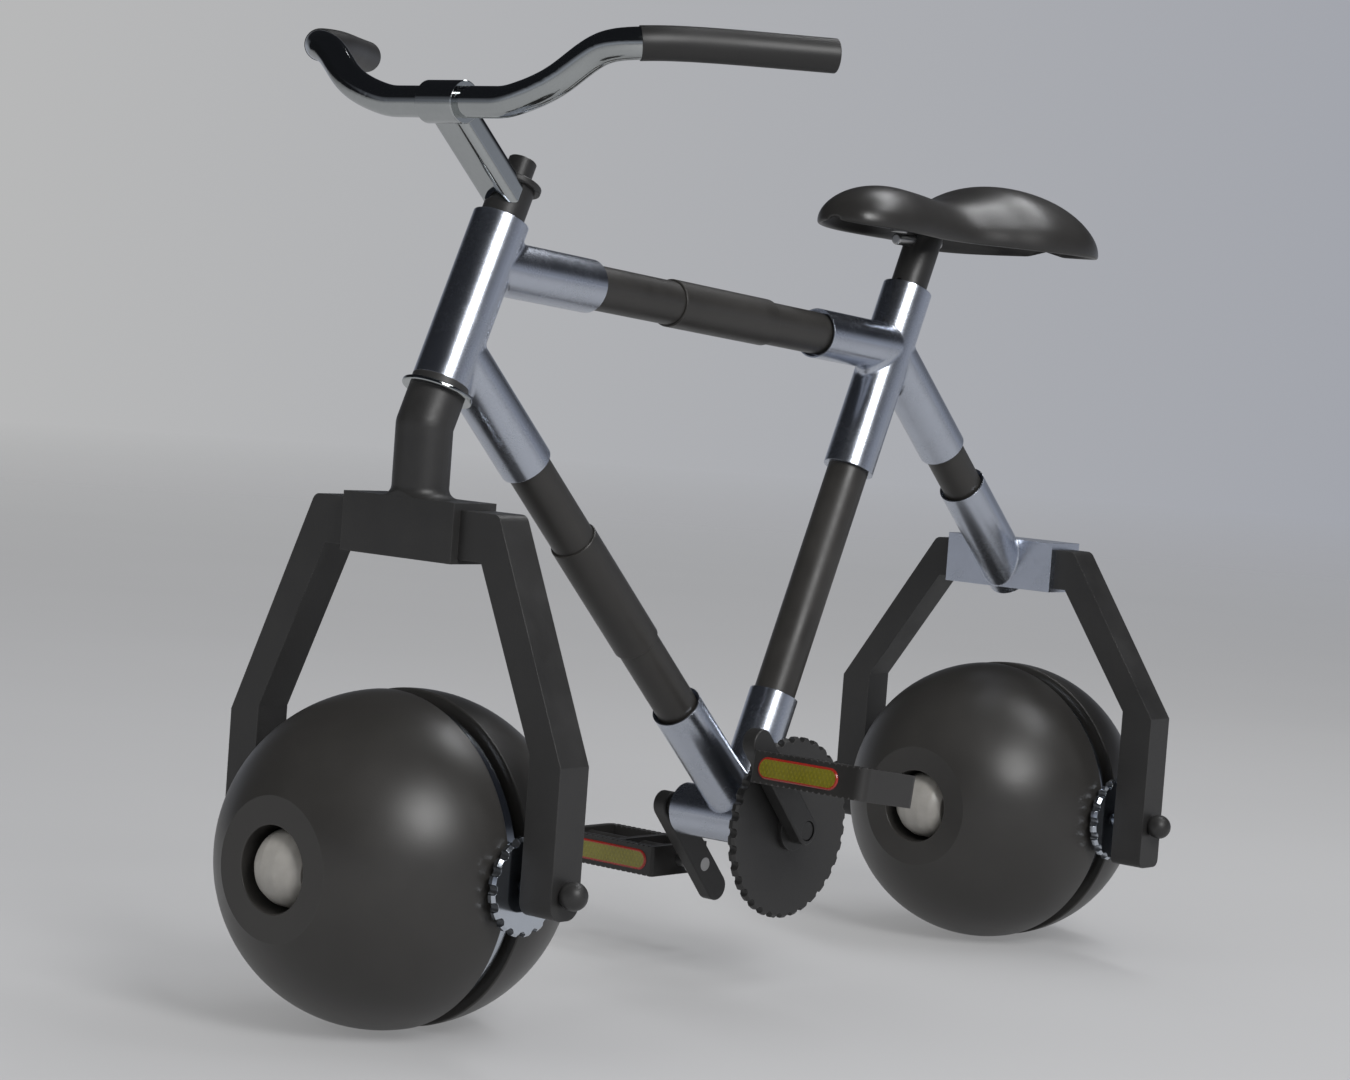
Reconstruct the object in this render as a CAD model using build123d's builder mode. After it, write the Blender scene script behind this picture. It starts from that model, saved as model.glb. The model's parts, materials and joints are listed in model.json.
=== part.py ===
from build123d import *
import os
from math import cos, radians, sin, sqrt, tan

# Ball-wheel bicycle: a lugged diamond frame on two balls, each split into a front and a rear half.
# Millimetres, +X forward, +Y rider's left, +Z up; the origin lies on the ground between the wheels.
# The frame hangs on four nodes: head lug, seat lug, bottom bracket and the foot of the rear stay.
# Move a node, a tube's angle or WHEEL_X below and every tube, sleeve and socket follows.

# ---- wheels -------------------------------------------------------------
WHEEL_X = 466          # each axle stands this far ahead of or behind the origin
AXLE_Z = 150           # height of both axles
BALL_RADIUS = 150      # radius of each half ball
HALF_GAP = 12          # each half ball stands this far from the middle plane
SHELL_WALL = 9
FACET_REACH = 148      # flat at each pole, measured from the ball's middle
POCKET_RADIUS = 38     # roller pocket in the flat
POCKET_WALL = 8
POCKET_FLOOR = 82
FLOOR_BACK = 76
RIM_FLANGE = 4
RIM_FLANGE_RADIUS = 100
PIVOT_BOSS_RADIUS = 22
PIVOT_BOSS_START = 14
ROLLER_REACH = 119     # roller axis, measured from the ball's middle
ROLLER_RADIUS, ROLLER_FLAT = 35, 8        # the roller is a barrel with a short flat middle
ROLLER_KNEE = (30.5, 19.5)
ROLLER_END_RADIUS = 22
ROLLER_HALF = 29
ROLLER_CHAMFER, ROLLER_KNEE_ROUNDING = 1.5, 12
ROLLER_PIN_RADIUS = 5
RIM_ROUNDING, POCKET_ROUNDING = 1.6, 1
SPHERE_MIDPOINT = 50   # degrees; an arc through three points needs one between its ends
RING_RADIUS = 142      # bright ring carried in the gap
RING_INNER = 124
RING_WIDTH = 12
WEB_WIDTH = 7
WEB_WINDOW_RADIUS = 30
WEB_WINDOW_AT = 76
HUB_BOSS_RADIUS = 21
HUB_BOSS_HALF = 9
PIVOT_RADIUS = 7.5
PIVOT_END = 74
BEARING_RADIUS = 16
BEARING_WIDTH = 9
BEARING_STARTS = (18, 64)
HUB_TUBE_RADIUS = 10
HUB_TUBE_HALF = 164
AXLE_RADIUS = 6
AXLE_HALF = 211
RUNNING = 0.05         # radial clearance of a turning or sliding fit

# ---- toothed wheels ------------------------------------------------------
SPROCKET_TEETH = 17
SPROCKET_RADIUS = 44
SPROCKET_Y = 152.5
SPROCKET_THICK = 9
CHAINRING_TEETH = 34
CHAINRING_RADIUS = 89.5
CHAINRING_Y = 64
CHAINRING_THICK = 9
TOOTH_VALLEY = 4.7     # radius of the round valley between two teeth
TOOTH_BEVEL = 2.6
VALLEY_INSET = 0.6     # the valley's centre stands this far inside the outer circle

# ---- frame layout --------------------------------------------------------
HEAD_TOP = Vector(387, 0, 719)
STEER_ANGLE = 67
SEAT_ANGLE = 67.5
HEAD_LENGTH = 160
BB = Vector(-10, 0, 157)
SEAT_NODE_RISE = 516   # crank axle to seat lug centre, along the seat tube
TOP_TUBE_DROP = 44.5   # head lug top to top tube, along the head tube
DOWN_TUBE_DROP = 126.3
DOWN_FOOT = Vector(-18, 0, 165.5)
STAY_FOOT = Vector(-WHEEL_X, 0, 395.5)

# ---- tubes and lugs ------------------------------------------------------
LUG_RADIUS = 26
STUB_RADIUS = 25
TUBE_RADIUS = 21
TUBE_BORE = 18
SLEEVE_RADIUS = 23
HEAD_BORE = 22
MOUTH_RELIEF_RADIUS = 23.4
MOUTH_RELIEF = 9
SOCKET = 34            # how far a tube plugs into a lug
JOINT_FILLET = 8
LIP_FILLET = 2
HOLLOW_START = 34      # a lug's stubs are hollow from here out
SLEEVE_CHAMFER = 0.8
OVERCUT = 1            # a cutting tool starts this far outside the metal
RACE_RELIEF = 20       # room under the head lug for the race and the fork column
STUB_HEAD_TOP, STUB_HEAD_DOWN = 140, 145
STUB_SEAT_TOP, STUB_SEAT_DOWN = 125, 137
STUB_SEAT_STAY, STUB_SEAT_POST = 148, 67
STUB_BB_SEAT, STUB_BB_DOWN, STUB_REAR_STAY = 131, 153, 146
TOP_SLEEVE_START, TOP_SLEEVE_LENGTH = 258, 145
DOWN_SLEEVE_START, DOWN_SLEEVE_LENGTH = 245, 140

# ---- fork crowns and arms ------------------------------------------------
BLOCK_DEPTH, BLOCK_WIDTH, BLOCK_HEIGHT = 53, 136, 53
FRONT_BLOCK_Z, REAR_BLOCK_Z = 443.5, 411.5
ARM_DEPTH = 36
ARM_PLUG = 12
ARM_SHOULDER = 9
ARM_OUT, ARM_IN = 204, 168
FRONT_ARM_LOW, FRONT_ARM_TOP = 421, 464    # the plug at the top of each arm
REAR_ARM_LOW, REAR_ARM_TOP = 389, 431
# Where each arm bends: (y, z) of the outer shoulder and knee, the foot, then the inner knee and armpit.
FRONT_ARM_BENDS = [(113, FRONT_ARM_TOP), (ARM_OUT, 258), (ARM_OUT, 127), (ARM_IN, 127), (ARM_IN, 264),
                   (96, FRONT_ARM_LOW)]
REAR_ARM_BENDS = [(90, REAR_ARM_TOP), (ARM_OUT, 264), (ARM_OUT, 105), (ARM_IN, 105), (ARM_IN, 268),
                  (83, REAR_ARM_LOW)]
FRONT_FOOT, REAR_FOOT = 14, 8              # rounding of the foot
NUT_RADIUS, NUT_CENTRE = 12.6, 213
COLUMN_RADIUS = 25.5
STEERER_RADIUS = 18
STEERER_BORE = 15
STEERER_TOP = 1        # just under the rim of the head lug
FLARE = 9

# ---- headset and stem ----------------------------------------------------
CUP_HEIGHT, CUP_DEPTH = 7, 12
RACE_RADIUS, RACE_THICK, RACE_GAP = 32.5, 4, 0.5
POST_RADIUS = 20
POST_RISE = 33         # head lug top to the flange of the stem bolt
POST_SHOULDER = 1
POST_NECK = 80
FLANGE_RADIUS, FLANGE_THICK = 25, 6
BOLT_RADIUS, BOLT_HEIGHT = 13, 21
BOLT_SOCKET, BOLT_SOCKET_DEPTH = 12, 9
STEM_ROOT = 20         # stem arm axis crosses the post this far above the lug
STEM_WIDTH, STEM_THICK, STEM_CORNER = 38, 28, 9
CLAMP_RADIUS, CLAMP_LENGTH = 19, 44
BAR_CENTRE = Vector(466, 0, 816)
BAR_RADIUS, BAR_BORE = 14, 11.5
BAR_FLAT = 60          # straight half length at the middle of the bar
BAR_RISE = [(466, 86, 820), (463, 128, 837), (454.5, 163.5, 862)]
GRIP_START = (438, 193.5, 869.5)
GRIP_HEADING = (-62, 53, 9)
GRIP_MIDDLE = (392, 221, 873.5)
GRIP_STRAIGHT = (329, 261.2, 875.2)
BAR_END = (289, 286.5, 876)
GRIP_RADIUS = 15

# ---- cranks and pedals ---------------------------------------------------
SHELL_HALF = 62
CRANK_AXLE_RADIUS = 10
CRANK_BEARING = 14
CRANK_LENGTH, CRANK_ANGLE = 86, 48    # crank axle to pedal spindle
CRANK_REACH = 120                      # crank axle to the middle of the arm's round end
CRANK_WIDTH, CRANK_IN, CRANK_OUT = 28, 78, 94
CRANK_ROUNDING = 2
SPIDER_RADIUS = 22
SPINDLE_RADIUS = 7
PEDAL_IN, PEDAL_OUT = 98, 230            # inner and outer end of the left pedal
RIGHT_PEDAL_STEP = 14                    # the right pedal stands this much further out
PEDAL_HALF, PEDAL_HEIGHT = 44, 31
PEDAL_RAIL = 9
LEFT_PEDAL_PITCH = -8                    # degrees; the left pedal rests with its front edge raised
PEDAL_BARREL = 12
PEDAL_BAR_Y, PEDAL_BAR_HALF = 152, 4     # middle cross bar
PEDAL_END_WALL, PEDAL_CORNER, PEDAL_OUTER_CORNER = 9, 3, 10
SPINDLE_END, BARREL_END = 210, 224       # how far out the spindle and the barrel round it reach
SPINDLE_BORE_END = 212
COLLAR_RADIUS, COLLAR_GAP = 11, 0.5      # collar on the spindle between crank and pedal
TOOTH_STEP, TOOTH_CUT = 7, 1.6
REFLECTOR_LENGTH, REFLECTOR_HEIGHT, REFLECTOR_THICK = 95, 21, 3
REFLECTOR_Y, REFLECTOR_BEVEL = 153.5, 1.2

# ---- seat ----------------------------------------------------------------
SEAT_POST_RADIUS = 19
SEAT_POST_TOP = 144    # above the seat lug centre, along the post
SEAT_POST_BELOW = 190
SEAT_POST_WALL, SEAT_POST_CAP = 3, 6
PIN_HOLE_RADIUS, PIN_HOLE_RISE = 4, 75
# station x, half width, rim height, crown height: nose to tail
SADDLE_STATIONS = [
    (-99, 9, 756, 766), (-112, 30, 754, 781), (-140, 47, 752, 794), (-176, 54, 750, 799),
    (-222, 51, 748, 796), (-268, 54, 747, 791), (-312, 78, 746, 800), (-358, 102, 745, 814),
    (-408, 107, 744, 811), (-448, 92, 744, 793), (-474, 62, 745, 772), (-486, 24, 746, 758),
]
SADDLE_WALL = 7
SADDLE_BOLT_RADIUS, SADDLE_BOLT_RISE = 6, 122
SADDLE_BOLT_BACK, SADDLE_BOLT_LENGTH = 28, 76
SADDLE_RIM_DROP = 3    # the hollow runs out through the rim by this much
BRACKET_LENGTH, BRACKET_WIDTH, BRACKET_BELOW = 84, 40, 12

os.makedirs("parts", exist_ok=True)


def write(part, name):
    part.label = name
    export_step(part, f"parts/{name}.step")


def along(start, direction, distance):
    return start + direction.normalized() * distance


def aimed(start, direction):
    """Plane at start whose normal runs along the tube, sideways axis along Y."""
    return Plane(origin=start, x_dir=(0, 1, 0), z_dir=direction)


def rod(start, direction, length, radius, mode=Mode.ADD):
    """Round bar in the open part, from start along direction."""
    with Locations(aimed(start, direction)):
        Cylinder(radius, length, align=(Align.CENTER, Align.CENTER, Align.MIN), mode=mode)


def cross_bar(centre, y_from, y_to, radius, mode=Mode.ADD):
    across = Plane(origin=(centre.X, y_from, centre.Z), x_dir=(1, 0, 0), z_dir=(0, 1, 0))
    with Locations(across):
        Cylinder(radius, y_to - y_from, align=(Align.CENTER, Align.CENTER, Align.MIN), mode=mode)


def round_seam(builder, radius=JOINT_FILLET):
    """Blend the newest seam between two tubes, the way a cast lug is blended."""
    newest = builder.edges(Select.LAST)
    fillet(newest.filter_by(GeomType.CIRCLE, reverse=True).filter_by(GeomType.LINE, reverse=True), radius)


def socket(node, direction, mouth, relieved):
    """Bore a stub so that a tube plugs in; a relieved mouth leaves a thin gap round the tube."""
    rod(along(node, direction, mouth - SOCKET), direction, SOCKET + 1, TUBE_RADIUS, Mode.SUBTRACT)
    rod(along(node, direction, HOLLOW_START), direction, mouth - HOLLOW_START, TUBE_BORE, Mode.SUBTRACT)
    if relieved:
        rod(along(node, direction, mouth - MOUTH_RELIEF), direction, MOUTH_RELIEF + 1,
            MOUTH_RELIEF_RADIUS, Mode.SUBTRACT)


DOWN = Vector(cos(radians(STEER_ANGLE)), 0, -sin(radians(STEER_ANGLE)))
SEAT_UP = Vector(-cos(radians(SEAT_ANGLE)), 0, sin(radians(SEAT_ANGLE)))
SEAT_NODE = along(BB, SEAT_UP, SEAT_NODE_RISE)
HEAD_NODE_TOP = along(HEAD_TOP, DOWN, TOP_TUBE_DROP)
HEAD_NODE_DOWN = along(HEAD_TOP, DOWN, DOWN_TUBE_DROP)
TOP_DIR = SEAT_NODE - HEAD_NODE_TOP
TOP_LENGTH = TOP_DIR.length
DOWN_DIR = DOWN_FOOT - HEAD_NODE_DOWN
DOWN_LENGTH = DOWN_DIR.length
STAY_DIR = STAY_FOOT - SEAT_NODE
STAY_LENGTH = STAY_DIR.length
KNEE = Vector(WHEEL_X, 0, HEAD_TOP.Z - (WHEEL_X - HEAD_TOP.X) * tan(radians(STEER_ANGLE)))

# ==== frame lugs ==========================================================
with BuildPart() as head_lug:
    rod(HEAD_TOP, DOWN, HEAD_LENGTH + RACE_RELIEF, LUG_RADIUS)
    rod(HEAD_NODE_TOP, TOP_DIR, STUB_HEAD_TOP, STUB_RADIUS)
    round_seam(head_lug)
    rod(HEAD_NODE_DOWN, DOWN_DIR, STUB_HEAD_DOWN, STUB_RADIUS)
    round_seam(head_lug)
    rod(along(HEAD_TOP, DOWN, HEAD_LENGTH), DOWN, RACE_RELIEF + 20, RACE_RADIUS + 1.5, Mode.SUBTRACT)
    rod(along(HEAD_TOP, DOWN, -1), DOWN, HEAD_LENGTH + 2, HEAD_BORE, Mode.SUBTRACT)
    socket(HEAD_NODE_TOP, TOP_DIR, STUB_HEAD_TOP, False)
    socket(HEAD_NODE_DOWN, DOWN_DIR, STUB_HEAD_DOWN, False)
write(head_lug.part, "head_lug")

with BuildPart() as seat_lug:
    rod(along(SEAT_NODE, SEAT_UP, -STUB_SEAT_DOWN), SEAT_UP, STUB_SEAT_DOWN + STUB_SEAT_POST, LUG_RADIUS)
    rod(SEAT_NODE, -TOP_DIR, STUB_SEAT_TOP, STUB_RADIUS)
    round_seam(seat_lug)
    rod(SEAT_NODE, STAY_DIR, STUB_SEAT_STAY, STUB_RADIUS)
    round_seam(seat_lug)
    rod(along(SEAT_NODE, SEAT_UP, -STUB_SEAT_DOWN - OVERCUT), SEAT_UP, STUB_SEAT_DOWN + OVERCUT,
        TUBE_RADIUS, Mode.SUBTRACT)
    rod(SEAT_NODE, SEAT_UP, STUB_SEAT_POST + 1, SEAT_POST_RADIUS + RUNNING, Mode.SUBTRACT)
    socket(SEAT_NODE, -TOP_DIR, STUB_SEAT_TOP, True)
    socket(SEAT_NODE, STAY_DIR, STUB_SEAT_STAY, False)
write(seat_lug.part, "seat_lug")

with BuildPart() as bottom_bracket_lug:
    cross_bar(BB, -SHELL_HALF, SHELL_HALF, LUG_RADIUS)
    rod(BB, SEAT_UP, STUB_BB_SEAT, STUB_RADIUS)
    round_seam(bottom_bracket_lug)
    rod(DOWN_FOOT, -DOWN_DIR, STUB_BB_DOWN, STUB_RADIUS)
    cross_bar(BB, -SHELL_HALF - 1, SHELL_HALF + 1, TUBE_RADIUS, Mode.SUBTRACT)
    socket(BB, SEAT_UP, STUB_BB_SEAT, False)
    socket(DOWN_FOOT, -DOWN_DIR, STUB_BB_DOWN, True)
write(bottom_bracket_lug.part, "bottom_bracket_lug")


def arm_pockets(x, low, high):
    """Pocket in each end of a fork crown for the plug of an arm, in the open part."""
    for side in (-1, 1):
        with Locations((x, side * (BLOCK_WIDTH / 2 - ARM_PLUG / 2), (low + high) / 2)):
            Box(ARM_DEPTH, ARM_PLUG, high - low, mode=Mode.SUBTRACT)


with BuildPart() as rear_fork_lug:
    with Locations((-WHEEL_X, 0, REAR_BLOCK_Z)):
        Box(BLOCK_DEPTH, BLOCK_WIDTH, BLOCK_HEIGHT)
    rod(STAY_FOOT, -STAY_DIR, STUB_REAR_STAY, STUB_RADIUS)
    round_seam(rear_fork_lug, LIP_FILLET)
    socket(STAY_FOOT, -STAY_DIR, STUB_REAR_STAY, True)
    arm_pockets(-WHEEL_X, REAR_ARM_LOW, REAR_ARM_TOP)
write(rear_fork_lug.part, "rear_fork_lug")


# ==== frame tubes =========================================================
def tube(name, node, direction, start, end, outer=TUBE_RADIUS, inner=TUBE_BORE):
    """Straight round tube between two distances along a line."""
    with BuildPart() as body:
        rod(along(node, direction, start), direction, end - start, outer)
        rod(along(node, direction, start - 1), direction, end - start + 2, inner, Mode.SUBTRACT)
        if outer == SLEEVE_RADIUS:
            ends = body.edges().filter_by(GeomType.CIRCLE).filter_by(lambda e: e.radius > TUBE_RADIUS + 1)
            chamfer(ends, SLEEVE_CHAMFER)
    write(body.part, name)


TOP_MIDDLE = TOP_SLEEVE_START + TOP_SLEEVE_LENGTH / 2
DOWN_MIDDLE = DOWN_SLEEVE_START + DOWN_SLEEVE_LENGTH / 2
tube("top_tube_front", HEAD_NODE_TOP, TOP_DIR, STUB_HEAD_TOP - SOCKET, TOP_MIDDLE)
tube("top_tube_rear", HEAD_NODE_TOP, TOP_DIR, TOP_MIDDLE, TOP_LENGTH - STUB_SEAT_TOP + SOCKET)
tube("top_tube_sleeve", HEAD_NODE_TOP, TOP_DIR, TOP_SLEEVE_START, TOP_SLEEVE_START + TOP_SLEEVE_LENGTH,
     SLEEVE_RADIUS, TUBE_RADIUS)
tube("down_tube_upper", HEAD_NODE_DOWN, DOWN_DIR, STUB_HEAD_DOWN - SOCKET, DOWN_MIDDLE)
tube("down_tube_lower", HEAD_NODE_DOWN, DOWN_DIR, DOWN_MIDDLE, DOWN_LENGTH - STUB_BB_DOWN + SOCKET)
tube("down_tube_sleeve", HEAD_NODE_DOWN, DOWN_DIR, DOWN_SLEEVE_START, DOWN_SLEEVE_START + DOWN_SLEEVE_LENGTH,
     SLEEVE_RADIUS, TUBE_RADIUS)
tube("seat_tube", BB, SEAT_UP, STUB_BB_SEAT - SOCKET, SEAT_NODE_RISE, TUBE_RADIUS, SEAT_POST_RADIUS + RUNNING)
tube("stay_tube", SEAT_NODE, STAY_DIR, STUB_SEAT_STAY - SOCKET, STAY_LENGTH - STUB_REAR_STAY + SOCKET)


# ==== fork arms, axles and dome nuts ======================================
def fork_arms(prefix, x, profile, foot):
    """Mirrored pair of bent flat arms, bored for the axle and rounded at the foot."""
    for side, name in ((1, "left"), (-1, "right")):
        with BuildPart() as arm:
            with BuildSketch(Plane.YZ.offset(x - ARM_DEPTH / 2)):
                with BuildLine():
                    Polyline([(side * y, z) for y, z in profile], close=True)
                make_face()
            extrude(amount=ARM_DEPTH)
            shoulder = arm.edges().filter_by(Axis.X).group_by(Axis.Z)[-1]
            fillet(shoulder.sort_by(Axis.Y)[-1 if side > 0 else 0], ARM_SHOULDER)
            fillet(arm.edges().filter_by(Axis.Y).group_by(Axis.Z)[0], foot)
            cross_bar(Vector(x, 0, AXLE_Z), -AXLE_HALF, AXLE_HALF, AXLE_RADIUS, Mode.SUBTRACT)
        write(arm.part, f"{prefix}_arm_{name}")


PLUG_Y = BLOCK_WIDTH / 2 - ARM_PLUG
fork_arms("front_fork", WHEEL_X, [(PLUG_Y, FRONT_ARM_TOP), *FRONT_ARM_BENDS, (PLUG_Y, FRONT_ARM_LOW)],
          FRONT_FOOT)
fork_arms("rear_fork", -WHEEL_X, [(PLUG_Y, REAR_ARM_TOP), *REAR_ARM_BENDS, (PLUG_Y, REAR_ARM_LOW)],
          REAR_FOOT)

for prefix, x in (("front", WHEEL_X), ("rear", -WHEEL_X)):
    with BuildPart() as axle:
        cross_bar(Vector(x, 0, AXLE_Z), -AXLE_HALF, AXLE_HALF, AXLE_RADIUS)
        chamfer(axle.edges().filter_by(GeomType.CIRCLE), 1)
    write(axle.part, f"{prefix}_axle")
    with BuildPart() as nuts:
        with BuildSketch(Plane.XY) as dome:
            with Locations((0, NUT_CENTRE)):
                Circle(NUT_RADIUS)
            with Locations((0, ARM_OUT)):
                Rectangle(2 * NUT_RADIUS, NUT_RADIUS, align=(Align.CENTER, Align.MAX), mode=Mode.SUBTRACT)
            Rectangle(NUT_RADIUS, 3 * ARM_OUT, align=(Align.MAX, Align.CENTER), mode=Mode.SUBTRACT)
            Rectangle(AXLE_RADIUS, AXLE_HALF, align=(Align.MIN, Align.MIN), mode=Mode.SUBTRACT)
        revolve(dome.sketch, Axis.Y)
        mirror(about=Plane.XZ)
    write(nuts.part.moved(Location((x, 0, AXLE_Z))), f"{prefix}_axle_nuts")


# ==== toothed wheels ======================================================
def toothed_disc(teeth, radius, thick, y, bore):
    """Flat disc across Y with round valleys and bevelled tooth tips, in the open part."""
    face = Plane(origin=(0, y, 0), x_dir=(1, 0, 0), z_dir=(0, 1, 0))
    with BuildSketch(face) as blank:
        Circle(radius)
        with PolarLocations(radius - VALLEY_INSET, teeth):
            Circle(TOOTH_VALLEY, mode=Mode.SUBTRACT)
        Circle(bore, mode=Mode.SUBTRACT)
    extrude(blank.sketch, amount=thick)
    with BuildSketch(Plane.XY) as lens:
        with BuildLine():
            shoulder = radius - TOOTH_BEVEL
            Polyline((0, y), (shoulder, y), (radius, y + TOOTH_BEVEL), (radius, y + thick - TOOTH_BEVEL),
                     (shoulder, y + thick), (0, y + thick), close=True)
        make_face()
    revolve(lens.sketch, Axis.Y, mode=Mode.INTERSECT)


with BuildPart() as chainring:
    toothed_disc(CHAINRING_TEETH, CHAINRING_RADIUS, CHAINRING_THICK, CHAINRING_Y, CRANK_AXLE_RADIUS)
write(chainring.part.moved(Location(BB)), "chainring")

with BuildPart() as sprocket:
    toothed_disc(SPROCKET_TEETH, SPROCKET_RADIUS, SPROCKET_THICK, SPROCKET_Y, HUB_TUBE_RADIUS)

# ==== ball wheels =========================================================
# Built once with the pole along +X and the ball's middle at the origin.
with BuildPart() as half_ball:
    inner = BALL_RADIUS - SHELL_WALL
    wall = POCKET_RADIUS + POCKET_WALL
    facet_radius = sqrt(BALL_RADIUS ** 2 - (FACET_REACH - HALF_GAP) ** 2)
    with BuildSketch(Plane.XY) as section:
        with BuildLine():
            outer_mid = radians(SPHERE_MIDPOINT)
            ThreePointArc((HALF_GAP, BALL_RADIUS),
                          (HALF_GAP + BALL_RADIUS * cos(outer_mid), BALL_RADIUS * sin(outer_mid)),
                          (FACET_REACH, facet_radius))
            Polyline((FACET_REACH, facet_radius), (FACET_REACH, POCKET_RADIUS), (POCKET_FLOOR, POCKET_RADIUS),
                     (POCKET_FLOOR, 0), (FLOOR_BACK, 0), (FLOOR_BACK, BEARING_RADIUS + RUNNING),
                     (PIVOT_BOSS_START, BEARING_RADIUS + RUNNING), (PIVOT_BOSS_START, PIVOT_BOSS_RADIUS),
                     (FLOOR_BACK, PIVOT_BOSS_RADIUS), (FLOOR_BACK, wall),
                     (HALF_GAP + sqrt(inner ** 2 - wall ** 2), wall))
            ThreePointArc((HALF_GAP + sqrt(inner ** 2 - wall ** 2), wall),
                          (HALF_GAP + inner * cos(outer_mid), inner * sin(outer_mid)),
                          (HALF_GAP + RIM_FLANGE, sqrt(inner ** 2 - RIM_FLANGE ** 2)))
            Polyline((HALF_GAP + RIM_FLANGE, sqrt(inner ** 2 - RIM_FLANGE ** 2)),
                     (HALF_GAP + RIM_FLANGE, RIM_FLANGE_RADIUS), (HALF_GAP, RIM_FLANGE_RADIUS),
                     (HALF_GAP, BALL_RADIUS))
        make_face()
        rim_corner = section.vertices().filter_by(lambda v: abs(v.Y - BALL_RADIUS) < 0.1)
        fillet(rim_corner, RIM_ROUNDING)
        lip = section.vertices().filter_by(lambda v: v.X > FACET_REACH - 0.1 and v.Y < POCKET_RADIUS + 1)
        fillet(lip, POCKET_ROUNDING)
    revolve(section.sketch, Axis.X)
    cross_bar(Vector(ROLLER_REACH, 0, 0), -wall + 0.5, wall - 0.5, ROLLER_PIN_RADIUS, Mode.SUBTRACT)

with BuildPart() as roller:
    with BuildSketch(Plane.XY) as barrel:
        with BuildLine():
            half = [(ROLLER_RADIUS, ROLLER_FLAT), ROLLER_KNEE, (ROLLER_END_RADIUS, ROLLER_HALF),
                    (ROLLER_PIN_RADIUS + RUNNING, ROLLER_HALF)]
            Polyline(half + [(x, -y) for x, y in reversed(half)], close=True)
        make_face()
        fillet(barrel.vertices().filter_by(lambda v: v.X > ROLLER_END_RADIUS + 1), ROLLER_KNEE_ROUNDING)
        ends = barrel.vertices().filter_by(lambda v: abs(v.X - ROLLER_END_RADIUS) < 0.5)
        fillet(ends, ROLLER_CHAMFER)
    revolve(barrel.sketch, Axis.Y)

with BuildPart() as roller_pin:
    cross_bar(Vector(0, 0, 0), -wall + 0.5, wall - 0.5, ROLLER_PIN_RADIUS)

with BuildPart() as hub_spider:
    with Locations(Rotation(0, 90, 0)):
        Cylinder(RING_RADIUS, RING_WIDTH)
        Cylinder(RING_INNER, RING_WIDTH, mode=Mode.SUBTRACT)
        Cylinder(RING_INNER + 2, WEB_WIDTH)
        Cylinder(HUB_BOSS_RADIUS, 2 * HUB_BOSS_HALF)
        Cylinder(PIVOT_RADIUS, 2 * PIVOT_END)
    with BuildSketch(Plane.YZ) as windows:
        with PolarLocations(WEB_WINDOW_AT, 4, start_angle=45):
            Circle(WEB_WINDOW_RADIUS)
    extrude(windows.sketch, amount=WEB_WIDTH, both=True, mode=Mode.SUBTRACT)
    cross_bar(Vector(0, 0, 0), -HUB_TUBE_HALF, HUB_TUBE_HALF, HUB_TUBE_RADIUS)
    cross_bar(Vector(0, 0, 0), -HUB_TUBE_HALF - 1, HUB_TUBE_HALF + 1, AXLE_RADIUS + RUNNING, Mode.SUBTRACT)
    rim = hub_spider.edges().filter_by(GeomType.CIRCLE).filter_by(lambda e: e.radius > RING_RADIUS - 1)
    chamfer(rim, 1.2)

with BuildPart() as pivot_bearings:
    for start in BEARING_STARTS:
        with Locations(Location((start + BEARING_WIDTH / 2, 0, 0), (0, 90, 0)),
                       Location((-start - BEARING_WIDTH / 2, 0, 0), (0, 90, 0))):
            Cylinder(BEARING_RADIUS, BEARING_WIDTH)
            Cylinder(PIVOT_RADIUS, BEARING_WIDTH, mode=Mode.SUBTRACT)

for wheel, x in (("front", WHEEL_X), ("rear", -WHEEL_X)):
    centre = Location((x, 0, AXLE_Z))
    write(hub_spider.part.moved(centre), f"{wheel}_hub")
    write(sprocket.part.moved(centre), f"{wheel}_sprocket")
    write(pivot_bearings.part.moved(centre), f"{wheel}_pivot_bearings")
    for end, turn in (("fore", 0), ("aft", 180)):
        facing = centre * Rotation(0, 0, turn)
        at_roller = facing * Location((ROLLER_REACH, 0, 0))
        write(half_ball.part.moved(facing), f"{wheel}_ball_{end}")
        write(roller.part.moved(at_roller), f"{wheel}_roller_{end}")
        write(roller_pin.part.moved(at_roller), f"{wheel}_roller_pin_{end}")

# ==== fork crown and headset ==============================================
COLUMN_TOP = HEAD_LENGTH + CUP_HEIGHT + RACE_GAP + RACE_THICK
KNEE_REACH = (KNEE - HEAD_TOP).length
BLOCK_TOP = FRONT_BLOCK_Z + BLOCK_HEIGHT / 2
with BuildPart() as crown_flare:
    with BuildSketch(Plane.XZ) as flare:
        with BuildLine():
            Polyline((0, -1), (COLUMN_RADIUS + FLARE, -1), (COLUMN_RADIUS + FLARE, 0))
            ThreePointArc((COLUMN_RADIUS + FLARE, 0),
                          (COLUMN_RADIUS + FLARE * (1 - cos(radians(45))), FLARE * (1 - sin(radians(45)))),
                          (COLUMN_RADIUS, FLARE))
            Polyline((COLUMN_RADIUS, FLARE), (0, FLARE), (0, -1))
        make_face()
    revolve(flare.sketch, Axis.Z)
    Box(BLOCK_DEPTH - 0.2, BLOCK_WIDTH, 4 * FLARE, mode=Mode.INTERSECT)

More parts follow.
